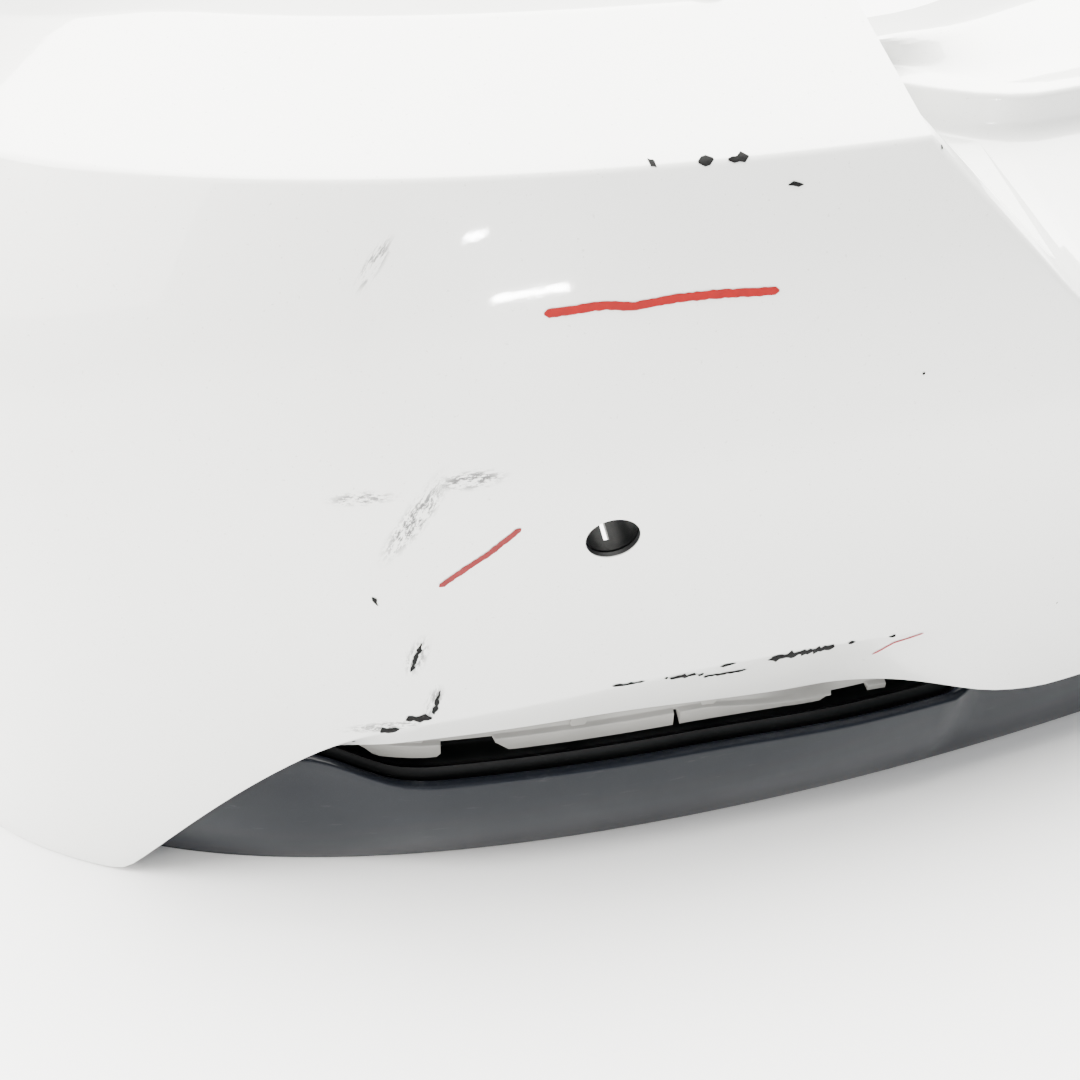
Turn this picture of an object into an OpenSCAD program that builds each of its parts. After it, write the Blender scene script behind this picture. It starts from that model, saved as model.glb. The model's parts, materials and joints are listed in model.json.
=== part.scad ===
// Rear bumper cover for a hatchback car, with its lower valance, brackets and fasteners.
// Millimetres. The origin is on the ground plane under the middle of the cover.
// +X is the car's right-hand side, -Y points to the rear of the car, +Z is up.

/* [Cover] */
// Overall width of the cover
cover_w = 1770; // [1740:5:1800]
// Overall depth from the rearmost line to the wheel arch ends
cover_d = 582; // [570:2:600]
// Wall thickness of the painted skin
skin_t = 3; // [2.5:0.1:3.5]
// Height of the crease along the rear edge of the shelf
shelf_z = 413; // [408:1:420]
// Width of the shelf between its two creases
shelf_w = 77; // [70:1:84]
// Depth of the flange above the upper crease
flange_w = 26; // [22:1:30]

/* [Tailgate recess] */
// Width of the recess at shelf height
recess_w = 872; // [860:2:884]
// Height of the recess lip in the middle
recess_lip_z = 323; // [315:1:335]
// Height of the foot of the seal wall
seal_foot_z = 372; // [368:1:376]
// Height of the seal wall
seal_wall_h = 18; // [14:1:22]

/* [Lower edge] */
// Height of the lower crease
crease_z = 134; // [130:1:138]
// Height of the lower edge of the middle tongue
tongue_z = 70; // [68:1:74]
// Height of the lower edge beside the tongue
lip_z = 113; // [110:1:116]
// Height of the bead along the top of the valance
bead_z = 83; // [80:1:86]
// Wall thickness of the valance
valance_t = 3; // [2.5:0.1:3.5]

/* [Wheel arches] */
// Radius of the wheel arch edge
arch_r = 360; // [350:2:370]
// Width of the flange turned in along the arch
arch_flange = 20; // [18:1:24]

/* [Parking sensors] */
// Diameter of each sensor hole
sensor_d = 24; // [20:0.5:26]
// Distance of the outer holes from the middle
sensor_outer_x = 560; // [540:5:580]
// Distance of the inner holes from the middle
sensor_inner_x = 205; // [180:5:240]
// Height of the sensor holes
sensor_z = 255; // [250:1:260]

/* [Towing eye cover] */
// Distance of the towing eye cover from the middle
tow_x = 400; // [380:5:420]
// Height of the middle of the towing eye cover
tow_z = 205; // [200:1:215]
// Width and height of the towing eye cover
tow_size = 66; // [60:1:70]

/* [Hidden] */

half_w = cover_w / 2;
rear_y = -cover_d / 2;
half_recess = recess_w / 2;
slope = 0.404;            // rise of the shelf per unit of depth

// Plan curve of the body at each level: height, setback from the rearmost line, inset from the
// half width, depth of the corner, squareness of the corner.
LEVELS = [[0, 26, 0.2, 340, 2.4], [145, 20.5, 0.2, 340, 2.4], [255, 4.5, 1.3, 342, 2.42],
    [300, 0.37, 8, 346, 2.48], [shelf_z, 29.5, 70, 380, 3.05]];
LAST = len(LEVELS) - 1;

function smooth(t) = t <= 0 ? 0 : t >= 1 ? 1 : t * t * (3 - 2 * t);
function rise(x, lo, hi) = smooth((x - lo) / (hi - lo));
function unit(v) = v / norm(v);

// Smooth interpolation between the levels
function level_slope(i, k) = i == 0 ? (LEVELS[1][k] - LEVELS[0][k]) / (LEVELS[1][0] - LEVELS[0][0])
    : i == LAST ? 1.3 * (LEVELS[i][k] - LEVELS[i - 1][k]) / (LEVELS[i][0] - LEVELS[i - 1][0])
    : (LEVELS[i + 1][k] - LEVELS[i - 1][k]) / (LEVELS[i + 1][0] - LEVELS[i - 1][0]);
function level_index(z, i = 0) = i >= LAST - 1 || z < LEVELS[i + 1][0] ? i : level_index(z, i + 1);
function hermite(t, h, a, b, sa, sb) = (2 * t * t * t - 3 * t * t + 1) * a
    + (t * t * t - 2 * t * t + t) * h * sa + (3 * t * t - 2 * t * t * t) * b
    + (t * t * t - t * t) * h * sb;
function level(z, k) = let (i = level_index(z), h = LEVELS[i + 1][0] - LEVELS[i][0])
    hermite((z - LEVELS[i][0]) / h, h, LEVELS[i][k], LEVELS[i + 1][k],
        level_slope(i, k), level_slope(i + 1, k));

// Depth of a superellipse corner behind the middle of the plan curve
function bow(x, a, b, n) = b - b * pow(max(0, 1 - pow(min(1, abs(x) / a), n)), 1 / n);
function wide(z) = half_w - level(z, 2);
function plan_y(x, z) = rear_y + level(z, 1) + bow(x, wide(z), level(z, 3), level(z, 4));

// Lower crease of the painted skin, its cut at the corner, and its lower edge
function crease_wave(a) = abs(a - 480) < 205 ? crease_z + 8 + 8 * cos(180 * (a - 480) / 205) : crease_z;
function corner_cut(a) = let (t = a - 660) crease_z - 0.52 * t - 0.0037 * pow(max(0, t), 2);
function crease_height(x) = let (a = abs(x), p = crease_wave(a), q = corner_cut(a),
        e = (p + q) / 2 - sqrt(pow(p - q, 2) / 4 + 36))
    (e + sqrt(e * e + 64)) / 2 + 0.4;
function lip_drop(x) = let (a = abs(x), d = crease_height(x) - tongue_z
        - (lip_z - tongue_z) * (0.65 * rise(a, 280, 400) + 0.35 * rise(a, 430, 560)))
    (d + sqrt(d * d + 4)) / 2;
function lip_in(x) = 0.4 * rise(abs(x), 325, 430) * lip_drop(x) + 6 * rise(abs(x), 650, 695);
function plan_in(x, z) = abs(x) > wide(z) - 1 ? [-sign(x), 0]
    : unit([plan_y(x - 0.5, z) - plan_y(x + 0.5, z), 1]);
function lip_pt(x) = let (z = crease_height(x), q = plan_in(x, z))
    [x + q[0] * lip_in(x), plan_y(x, z) + q[1] * lip_in(x), z - lip_drop(x)];

// Columns of the skin: recess, corner, straight side, arch flange
CORNER_IN = [385, 325, 265, 222, 188, 152, 120, 90, 65, 42, 22, 7, 0];
RECESS_X = [0, 0.2, 0.4, 0.6, 0.7, 0.76, 0.8, 0.853, 0.9, 0.95, 1];
SIDE_STEPS = 4;
N_RECESS = len(RECESS_X) - 1;
N_CORNER = N_RECESS + len(CORNER_IN);
N_SIDE = N_CORNER + SIDE_STEPS;
N_COL = N_SIDE + 1;
BODY_STEPS = 10;
A_ROW = BODY_STEPS + 1;
N_ROW = A_ROW + 6;

function col_ref(i) = i <= N_RECESS ? half_recess * RECESS_X[i]
    : i <= N_CORNER ? half_w - CORNER_IN[i - N_RECESS - 1] : half_w;
function col_x(i, z) = i <= N_RECESS ? col_ref(i) : half_recess
    + (wide(z) - half_recess) * (col_ref(i) - half_recess) / (half_w - half_recess);
function arch_y(z) = min(rear_y + cover_d - 3, rear_y + 817 - sqrt(arch_r * arch_r - pow(z - 95, 2)));
function side_y(i, z) = let (y = rear_y + level(z, 1) + level(z, 3))
    y + (arch_y(z) - y) * (i - N_CORNER) / SIDE_STEPS;
function body_pt(i, z) = i <= N_CORNER ? [col_x(i, z), plan_y(col_x(i, z), z), z]
    : [wide(z), side_y(min(i, N_SIDE), z), z];

// Top of the body: the shelf crease, or the lip of the recess
function recess_lip(x) = let (e = shelf_z - (half_recess - x), m = recess_lip_z)
    e > m + 24 ? e : e < m - 24 ? m : m + pow(e - m + 24, 2) / 96;
function body_top(i) = i < N_RECESS ? recess_lip(col_ref(i)) : shelf_z;

// Shelf and flange above the crease, as [depth inwards, rise]
function shelf_step(k, w) = k < 4 ? [w * [0.2, 0.5, 0.8][k - 1], slope * w * [0.2, 0.5, 0.8][k - 1]]
    : [w + flange_w * (k - 4) / 2, slope * w + (k - 4)];
function shelf_pt(i, k) = let (j = min(i, N_SIDE), p = body_pt(j, shelf_z), q = plan_in(p[0], shelf_z),
    s = shelf_step(k, shelf_w * (1 - 0.38 * rise(j, N_CORNER - 6, N_CORNER))))
    [p[0] + q[0] * s[0], p[1] + q[1] * s[0], shelf_z + s[1]];

// Inside of the tailgate recess: ramp, seal wall, ledge, ridge and back flange
function seal_y(x) = rear_y + 100 + 8 * pow(x / 297, 2) + pow(max(0, x - 320), 2) / 80;
function ridge_y(x) = rear_y + 180 - 19 * rise(x, 260, 350);
function recess_pt(i, k) = let (x = col_ref(i), s = min(x, 0.853 * half_recess), z = body_top(i),
        e = [x, plan_y(x, z), z])
    k == 1 ? e + [0, 16, 8] : k == 2 ? [x, seal_y(s), seal_foot_z]
    : k == 3 ? [x, seal_y(s) + 1, seal_foot_z + seal_wall_h]
    : k == 4 ? [x, seal_y(s) + 24, seal_foot_z + seal_wall_h + 2]
    : [x, ridge_y(s) + 28 * (k - 5), seal_foot_z + 33];
function top_pt(i, k) = i >= N_RECESS ? shelf_pt(i, k)
    : let (w = pow(max(0, col_ref(i) / half_recess - 0.853) / 0.147, 2), q = shelf_pt(N_RECESS, k),
        p = recess_pt(i, k), b = k == 1 ? 0 : w) [p[0], p[1] + (q[1] - p[1]) * b, p[2] + (q[2] - p[2]) * b];

function low_pt(i) = i <= N_CORNER ? let (x = col_ref(i)) lip_pt(x)
    : body_pt(i, crease_height(half_w)) - [6, 0, 0];
function row_z(i, r) = let (z = crease_height(col_ref(i))) z + (body_top(i) - z) * (r - 1) / BODY_STEPS;
function half_pt(i, r) = let (j = min(i, N_SIDE)) (r == 0 ? low_pt(j) : r <= A_ROW ? body_pt(j, row_z(j, r))
        : top_pt(j, r - A_ROW))
    + (r == 0 && i >= N_SIDE ? [i == N_SIDE ? 0 : 6 - arch_flange, -6, 0]
        : i <= N_SIDE ? [0, 0, 0] : r < A_ROW ? [-arch_flange, 0, 0]
        : r == A_ROW ? [-10, 3, -9] : [0, 3, -12]);
function mirror_x(p, s) = [p[0] * s, p[1], p[2]];
SKIN = [for (c = [-N_COL:N_COL]) [for (r = [0:N_ROW]) mirror_x(half_pt(abs(c), r), c < 0 ? -1 : 1)]];

// Unit normals of a grid of points, and the grid moved inwards along them
function step(v, i) = (i < len(v) - 1 ? unit(v[i + 1] - v[i]) : [0, 0, 0])
    + (i > 0 ? unit(v[i] - v[i - 1]) : [0, 0, 0]);
function grid_normal(g, i, j) = unit(cross(step([for (c = g) c[j]], i), step(g[i], j)));
function moved(g, d) = [for (i = [0:len(g) - 1]) [for (j = [0:len(g[0]) - 1])
    g[i][j] - grid_normal(g, i, j) * d]];

// Closed wall between two matching grids, outer then inner
module wall(outer, inner) {
    n = len(outer);
    m = len(outer[0]);
    back = n * m;
    rim = concat([for (i = [0:n - 1]) i * m], [for (j = [1:m - 1]) (n - 1) * m + j],
        [for (i = [n - 2:-1:0]) i * m + m - 1], [for (j = [m - 2:-1:1]) j]);
    k = len(rim);
    quads = concat(
        [for (i = [0:n - 2], j = [0:m - 2]) [i * m + j, i * m + j + 1, (i + 1) * m + j + 1, (i + 1) * m + j]],
        [for (i = [0:n - 2], j = [0:m - 2])
            [back + i * m + j, back + (i + 1) * m + j, back + (i + 1) * m + j + 1, back + i * m + j + 1]],
        [for (e = [0:k - 1]) [rim[e], rim[(e + 1) % k], back + rim[(e + 1) % k], back + rim[e]]]);
    polyhedron(points = concat([for (c = outer) each c], [for (c = inner) each c]),
        faces = [for (q = quads) each [[q[0], q[1], q[2]], [q[0], q[2], q[3]]]]);
}

// Local frame on the body: X along the surface, Y inwards along its normal, Z up the surface
function slope_x(x, z) = plan_y(x + 1, z) - plan_y(x, z);
function slope_z(x, z) = plan_y(x, z + 1) - plan_y(x, z);
module on_body(x, z) {
    turn = atan(slope_x(x, z));
    translate([x, plan_y(x, z), z])
        rotate([atan(-slope_z(x, z) * cos(turn)), 0, turn]) children();
}
module both_sides() {
    for (s = [0, 1]) mirror([s, 0, 0]) children();
}
module along_y(r, y0, y1) {
    translate([0, y0, 0]) rotate([-90, 0, 0]) cylinder(r = r, h = y1 - y0, $fn = 48);
}
module upright(r, z0, z1) {
    translate([0, 0, z0]) cylinder(r = r, h = z1 - z0, $fn = 48);
}
module round_plate(w, h, r, y0, y1) {
    translate([0, y1, 0]) rotate([90, 0, 0]) linear_extrude(y1 - y0) {
        square([w - 2 * r, h], center = true);
        square([w, h - 2 * r], center = true);
        for (x = [-1, 1], z = [-1, 1]) translate([x * (w / 2 - r), z * (h / 2 - r)]) circle(r, $fn = 32);
    }
}

// Places of the fasteners
SILL_X = [-240, -120, 0, 120, 240];
SILL_MOUNT_X = [-180, -60, 60, 180];
sill_y = rear_y + 195;
sill_z = seal_foot_z + 33;
ARCH_ANGLE = [-6, 10, 26];
arch_x = half_w - 16;
GUIDE_Y = [rear_y + 450, rear_y + 530];
guide_x = wide(shelf_z) - 61;
guide_z = shelf_z + 20;
rivet_x = 480;
rivet_y = rear_y + 145;
rivet_turn = 11.3;
LAMP_X = [-20, 56];
rivet_z = shelf_z + slope * shelf_w + 1;
VALANCE_X = [60, 180, 360, 540];
CARRIER_X = [490, 560, 645];
carrier_screw_z = bead_z + 18;
screw_r = 2.5;

module on_arch(angle) {
    translate([0, rear_y + 817, 95]) rotate([-angle, 0, 0]) translate([0, -arch_r, 0]) children();
}
module at_rivet() {
    translate([rivet_x, rivet_y, rivet_z]) children();
}
module at_tow() {
    on_body(tow_x, tow_z) children();
}

module bumper_skin() {
    color("white") difference() {
        wall(SKIN, moved(SKIN, skin_t));
        for (x = [sensor_outer_x, sensor_inner_x]) both_sides()
            on_body(x, sensor_z) along_y(sensor_d / 2, -10, 10);
        at_tow() translate([-1, 0, 0]) round_plate(tow_size + 4, tow_size + 2, 5, -12, 12);
        for (x = SILL_X) translate([x, sill_y, sill_z]) upright(3, -8, 8);
        for (x = SILL_MOUNT_X) translate([x, sill_y, sill_z]) upright(3.3, -8, 8);
        both_sides() at_rivet() upright(4.2, -10, 10);
        both_sides() for (y = GUIDE_Y) translate([guide_x, y, guide_z]) upright(3, -12, 12);
        both_sides() for (a = ARCH_ANGLE) translate([arch_x, 0, 0]) on_arch(a) along_y(2.8, -12, 12);
    }
}

// Valance: plan curve at the bead and at the ground, and its profile
function bead_y(x) = let (a = abs(x)) rear_y + 22.5 + bow(x, half_w, 340, 2.4)
    + 14 * rise(a, 630, 700) - 4 * (1 - rise(a, 400, 500)) + 8 * (1 - rise(a, 332, 352));
function foot_y(x) = rear_y + 42 + bow(x, half_w - 34, 292, 2.27);
function valance_top(x) = let (a = abs(x))
    min(bead_z + 13 * rise(a, 646, 692), crease_height(a) + 30);
function valance_pt(x, k) = let (t = (k - 2) / 4, top = valance_top(x), z = top * t,
        s = min(1, z / bead_z))
    k < 2 ? [x, foot_y(x) + [28, 5][k], 5] : k <= 6
    ? [x, foot_y(x) + (bead_y(x) - foot_y(x)) * s - 24 * s * (1 - s), z]
    : k == 7 ? [x, bead_y(x) + 6, top + 0.5] : [x, bead_y(x) + 9.5, top - 7];
VALANCE_COLS = [for (x = [-800:40:-680]) x, -664, -648, for (x = [-600:60:-360]) x, -348, -336,
    for (x = [-300:60:300]) x, 336, 348, for (x = [360:60:600]) x, 648, 664,
    for (x = [680:40:800]) x];
post_in = 11;
module at_post() {
    for (s = [-1, 1], x = VALANCE_X) translate([s * x, foot_y(x) + post_in, 0]) children();
}
module lower_valance() {
    g = [for (x = VALANCE_COLS) [for (k = [0:8]) valance_pt(x, k)]];
    color([0.36, 0.38, 0.41]) difference() {
        wall(g, moved(g, valance_t));
        at_post() upright(screw_r + 0.2, -5, 12);
    }
}

// Carrier: rolled edge and floor behind the bead, wall behind the clip rails, posts to the valance
function carrier_pt(x, k) = [x, bead_y(x) + [10.4, 12.8, 15.6, 32, 36, 36, 45][k],
    valance_top(x) + [-2.4, 0.4, -3, -5, -3, 40, 42][k]];
CARRIER_COLS = [-688, -670, -650, for (x = [-600:60:-360]) x, -348, -336, for (x = [-300:60:300]) x,
    336, 348, for (x = [360:60:600]) x, 650, 670, 688];
module at_carrier_screw() {
    for (x = CARRIER_X) translate([x, bead_y(x) + 18, carrier_screw_z])
        rotate([0, 0, atan(bead_y(x + 0.5) - bead_y(x - 0.5))]) children();
}
module lower_carrier() {
    g = [for (x = CARRIER_COLS) [for (k = [0:6]) carrier_pt(x, k)]];
    color([0.05, 0.055, 0.06]) difference() {
        union() {
            wall(moved(g, -2.5), g);
            at_post() upright(6.5, 8.6, bead_z - 3);
            both_sides() at_carrier_screw() along_y(6, 9.4, 18.5);
        }
        at_post() upright(2.1, 5, 40);
        both_sides() at_carrier_screw() along_y(2.7, 5, 20);
    }
}

// Clip rail: a strip under the lip with stepped tabs below it, hooked up behind the lip
function in_tab(a) = (a > 625 && a < 664) || (a > 504.5 && a < 598.5) || (a > 417 && a < 502)
    || (a > 384 && a < 396);
function rail_pt(x, k) = let (c = crease_height(x), e = lip_pt(x), front = bead_y(x) + 18,
        under = e[2] - 2.4, s = min(bead_z + 14.5, under - 4), tab = in_tab(x))
    k == 0 ? [x, front + (tab ? 0 : 2), tab ? min(bead_z + 5, s - 4) : s + 0.4]
    : k == 1 ? [x, front + (tab ? 0 : 2.2), tab ? s - 0.6 : s + 0.9]
    : k == 2 ? [x, front + 2.6, s + 1.5]
    : k == 3 ? [x, max(front + 2.8, e[1] + 2.5), under]
    : k == 4 ? [x, max(front + 3.8, e[1] + 4.5), e[2] + 2]
    : k == 5 ? [x, max(front + 3.8, e[1] + 1.8), e[2] + 9]
    : [x, plan_y(x, c + 5) + skin_t + 0.8, c + 5];
RAIL_COLS = [384.5, 395.5, 396.5, 416.5, 417.5, 445, 475, 501.5, 502.5, 504, 505, 535, 565, 598,
    599, 624.5, 625.5, 645, 663.5];
module clip_rail() {
    g = [for (x = RAIL_COLS) [for (k = [0:6]) rail_pt(x, k)]];
    color([0.82, 0.81, 0.78]) difference() {
        union() {
            wall(g, moved(g, 2));
            at_carrier_screw() along_y(4.4, 1.4, 9);
        }
        at_carrier_screw() along_y(2.1, 3, 12);
    }
}

module sensor_holder(x) {
    color([0.08, 0.08, 0.085]) on_body(x, sensor_z) difference() {
        union() {
            along_y(22, 4.7, 6.7);
            along_y(sensor_d / 2 + 2.4, 3.8, 25);
            for (s = [-1, 1]) translate([s * 17 - 1.5, 5, -5]) cube([3, 18.6, 10]);
            for (s = [-1, 1]) translate([s * 18 - 1.5, 21.6, -5]) cube([3, 2, 10]);
            translate([-1.5, 5, 13]) cube([3, 17, 8]);
        }
        along_y(sensor_d / 2 - 0.4, 2, 26);
        translate([-1.2, 10, -sensor_d]) cube([2.4, 20, sensor_d]);
    }
}

module side_guide() {
    w = guide_x - 11;
    color([0.1, 0.1, 0.11]) difference() {
        union() {
            translate([w, rear_y + 425, guide_z - 8]) cube([24, 138, 3]);
            translate([w, rear_y + 425, guide_z - 30]) cube([3, 138, 23]);
            for (i = [0:3]) translate([w + 2, rear_y + 436 + 36 * i, guide_z - 24]) cube([14, 3, 17]);
            for (y = GUIDE_Y) translate([guide_x, y, guide_z - 18]) upright(6, 0, 12);
        }
        for (y = GUIDE_Y) translate([guide_x, y, guide_z]) upright(2.1, -30, 12);
        for (y = GUIDE_Y) translate([w + 1.5, y + 16, guide_z - 20]) rotate([0, 90, 0])
            cylinder(r = 3.2, h = 12, center = true, $fn = 48);
    }
}

module lamp_bracket() {
    color([0.1, 0.1, 0.11]) at_rivet() rotate([0, 0, rivet_turn]) difference() {
        union() {
            translate([-34, -6, -8]) cube([104, 17, 3]);
            translate([-34, 8, -44]) cube([104, 3, 37]);
            for (x = [-33, 14, 39, 66]) translate([x, -4, -30]) cube([3, 13, 23]);
            upright(7, -14, -5);
        }
        upright(4, -20, 0);
        for (x = LAMP_X) translate([x, 9.5, -28]) along_y(3.2, -4, 4);
    }
}

// Curved strip behind the arch flange with a stiffening rib, drawn about the wheel axis
module arch_bracket() {
    color([0.1, 0.1, 0.11]) difference() {
        translate([half_w - 7, rear_y + 817, 95]) rotate([0, -90, 0]) rotate([0, 0, -100])
            for (band = [[3.8, 5.9, 0, 16], [3.8, 14, 0, 3]])
                rotate_extrude(angle = 42, $fn = 180)
                    translate([arch_r + band[0], band[2]]) square([band[1] - band[0], band[3]]);
        for (a = ARCH_ANGLE) translate([arch_x, 0, 0]) on_arch(a) along_y(2.8, -12, 12);
    }
}

module sill_rail() {
    color([0.1, 0.1, 0.11]) difference() {
        union() {
            translate([-258, rear_y + 184, sill_z - 7]) cube([516, 22, 3]);
            translate([-258, rear_y + 203, sill_z - 25]) cube([516, 3, 21]);
            for (i = [0:8]) translate([-241.5 + 60 * i, rear_y + 186, sill_z - 20]) cube([3, 18, 14]);
            for (x = SILL_X) translate([x, sill_y, sill_z]) upright(6, -20, -4);
        }
        for (x = SILL_X) translate([x, sill_y, sill_z]) upright(2.1, -25, 0);
        for (x = SILL_MOUNT_X) translate([x, sill_y, sill_z]) upright(3.3, -25, 0);
    }
}

module screw(length, head) {
    color([0.18, 0.18, 0.19]) difference() {
        union() {
            upright(head, 0, 2.6);
            upright(screw_r - 0.45, -length, 0.5);
        }
        translate([0, 0, 1.2]) cylinder(r = 2.2, h = 3, $fn = 6);
    }
}
module sill_screws() {
    for (x = SILL_X) translate([x, sill_y, sill_z + 0.2]) screw(18, 7);
}
module guide_screws() {
    both_sides() for (y = GUIDE_Y) translate([guide_x, y, guide_z + 1.6]) screw(16, 6);
}
module valance_screws() {
    at_post() translate([0, 0, 4.8]) mirror([0, 0, 1]) screw(22, 5);
}
module carrier_screws() {
    both_sides() at_carrier_screw() translate([0, 18.7, 0]) rotate([90, 0, 0]) mirror([0, 0, 1])
        screw(15, 5);
}
// Spring nuts pushed over the edge of the arch flange
module arch_nuts() {
    color([0.55, 0.55, 0.57]) both_sides() for (a = ARCH_ANGLE) translate([arch_x, 0, 0]) on_arch(a)
        difference() {
            union() {
                translate([-9.6, -7.4, -8]) cube([15, 9.6, 16]);
                along_y(4.4, -11, -7);
            }
            translate([-8.4, -6.2, -9]) cube([20, 7.4, 18]);
            along_y(2.1, -14, -5);
            along_y(3, -1, 4);
        }
}

// Expanding rivets: each sleeve holds a pin that slides out to release it
module push_rivet_sleeves() {
    color([0.07, 0.07, 0.07]) both_sides() at_rivet() difference() {
        union() {
            upright(8, 1.3, 3.3);
            upright(3.9, -16, 2);
        }
        upright(2.6, -20, 6);
    }
}
module push_pin() {
    color([0.09, 0.09, 0.09]) at_rivet() {
        upright(2.55, -20, 4);
        upright(5, 3.35, 5.1);
    }
}

// Towing eye cover: flap, its hinge pin and the socket behind it, in the body's local frame
hinge_in = tow_size / 2 - 6.5;
hinge_deep = 6;
pin_r = 1.5;
module tow_socket() {
    color([0.1, 0.1, 0.11]) at_tow() difference() {
        union() {
            translate([-1, 0, 0]) round_plate(tow_size + 34, tow_size + 26, 9, 4.2, 6.7);
            translate([-1, 0, 0]) round_plate(tow_size + 10, tow_size + 8, 8, 6, 20);
            for (s = [-1, 1]) translate([-hinge_in, hinge_deep, s * 14.5 - 2]) {
                upright(3.2, 0, 4);
            }
        }
        difference() {
            translate([-1, 0, 0]) round_plate(tow_size + 4, tow_size + 2, 5, 0, 30);
            for (s = [-1, 1]) translate([-hinge_in, hinge_deep, s * 14.5 - 2]) {
                upright(3.2, 0, 4);
                translate([-3.2, 0, 0]) cube([6.4, 12, 4]);
            }
            translate([-hinge_in - 10.5, 16, -18]) cube([13, 2, 36]);
        }
        translate([-hinge_in, hinge_deep, 0]) upright(pin_r, -20, 20);
    }
}
module tow_cover() {
    g = [for (i = [-5:5]) [for (j = [-5:5]) let (x = tow_x + 8 * i, z = tow_z + 8 * j)
        [x, plan_y(x, z), z]]];
    color("white") difference() {
        union() {
            intersection() {
                wall(g, moved(g, 2.5));
                at_tow() translate([0.5, 0, 0]) round_plate(tow_size - 1, tow_size, 5, -12, 12);
            }
            at_tow() translate([-hinge_in, hinge_deep, 0]) upright(3.2, -12, 12);
            at_tow() translate([-hinge_in - 2.5, 2, -12]) cube([5, 3, 24]);
            at_tow() translate([tow_size / 2 - 8, 2, -7]) cube([2.5, 7, 14]);
        }
        at_tow() translate([-hinge_in, hinge_deep, 0]) upright(pin_r + 0.05, -14, 14);
    }
}
module tow_pin() {
    color([0.6, 0.6, 0.62]) at_tow() translate([-hinge_in, hinge_deep, 0]) upright(pin_r, -17.5, 17.5);
}

bumper_skin();
lower_valance();
lower_carrier();
mirror([1, 0, 0]) clip_rail();  // clip_rail_left
clip_rail();  // clip_rail_right
mirror([1, 0, 0]) sensor_holder(sensor_outer_x);  // sensor_holder_outer_left
mirror([1, 0, 0]) sensor_holder(sensor_inner_x);  // sensor_holder_inner_left
sensor_holder(sensor_inner_x);  // sensor_holder_inner_right
sensor_holder(sensor_outer_x);  // sensor_holder_outer_right
mirror([1, 0, 0]) side_guide();  // side_guide_left
side_guide();  // side_guide_right
mirror([1, 0, 0]) lamp_bracket();  // lamp_bracket_left
lamp_bracket();  // lamp_bracket_right
mirror([1, 0, 0]) arch_bracket();  // arch_bracket_left
arch_bracket();  // arch_bracket_right
sill_rail();
sill_screws();
arch_nuts();
valance_screws();
carrier_screws();
guide_screws();
push_rivet_sleeves();
mirror([1, 0, 0]) push_pin();  // push_pin_left
push_pin();  // push_pin_right
tow_socket();
tow_cover();
tow_pin();
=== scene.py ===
import bpy, bmesh, json, math
import numpy as np
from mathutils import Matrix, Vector
from mathutils.bvhtree import BVHTree


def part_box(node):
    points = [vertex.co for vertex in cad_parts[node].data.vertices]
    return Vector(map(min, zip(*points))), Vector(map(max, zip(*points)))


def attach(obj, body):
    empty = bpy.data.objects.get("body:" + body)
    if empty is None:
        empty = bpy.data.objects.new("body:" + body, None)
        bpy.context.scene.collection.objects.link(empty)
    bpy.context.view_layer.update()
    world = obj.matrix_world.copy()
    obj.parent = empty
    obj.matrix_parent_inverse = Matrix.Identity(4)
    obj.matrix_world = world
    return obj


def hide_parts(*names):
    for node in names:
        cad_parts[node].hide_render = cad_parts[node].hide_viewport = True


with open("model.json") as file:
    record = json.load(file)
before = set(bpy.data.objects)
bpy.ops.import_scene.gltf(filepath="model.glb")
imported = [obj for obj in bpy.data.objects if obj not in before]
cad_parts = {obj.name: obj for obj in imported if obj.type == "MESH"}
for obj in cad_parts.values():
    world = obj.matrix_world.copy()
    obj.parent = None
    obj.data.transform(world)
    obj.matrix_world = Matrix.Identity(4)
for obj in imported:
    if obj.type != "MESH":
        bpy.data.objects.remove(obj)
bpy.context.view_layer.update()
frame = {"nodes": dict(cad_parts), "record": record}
rng = np.random.default_rng(7)

# ---------------------------------------------------------------- the cover's surface, in millimetres
HALF_W, REAR_Y, FRONT_Y = 885.0, -291.0, 291.0
SHELF_Z, SHELF_W, FLANGE_W, SLOPE = 413.0, 77.0, 26.0, 0.404
HALF_RECESS, LIP_RECESS, FOOT_Z, WALL_H = 436.0, 323.0, 372.0, 18.0
CREASE_Z, TONGUE_Z, LIP_Z, BEAD_Z = 134.0, 70.0, 113.0, 83.0
ARCH_R, ARCH_FLANGE, SKIN_T = 360.0, 20.0, 3.0
ARCH_Y, ARCH_Z = REAR_Y + 817, 95
# Radii of the holes in the skin
SENSOR_R, SCREW_R, RIVET_R, SILL_BOLT_R, LINER_R = 12.0, 3.0, 4.2, 3.3, 2.8
# Where the sill bolts are along X, in metres
SILL_BOLT_X = (-0.18, -0.06, 0.06, 0.18)
# Shares of the half recess: up to where its foot and ridge follow their curves, and over which it blends
RECESS_FLAT, RECESS_TURN = 0.853, 0.147
# At each height: how far in the rear face is, how far in the side is, and the bow's depth and power
LEVELS = np.array([[0, 26, 0.2, 340, 2.4], [145, 20.5, 0.2, 340, 2.4], [255, 4.5, 1.3, 342, 2.42],
                   [300, 0.37, 8, 346, 2.48], [SHELF_Z, 29.5, 70, 380, 3.05]])


def smooth(t):
    t = np.clip(t, 0, 1)
    return t * t * (3 - 2 * t)


def rise(x, lo, hi):
    return smooth((x - lo) / (hi - lo))


def unit(v):
    return v / np.maximum(np.linalg.norm(v, axis=-1, keepdims=True), 1e-9)


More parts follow.
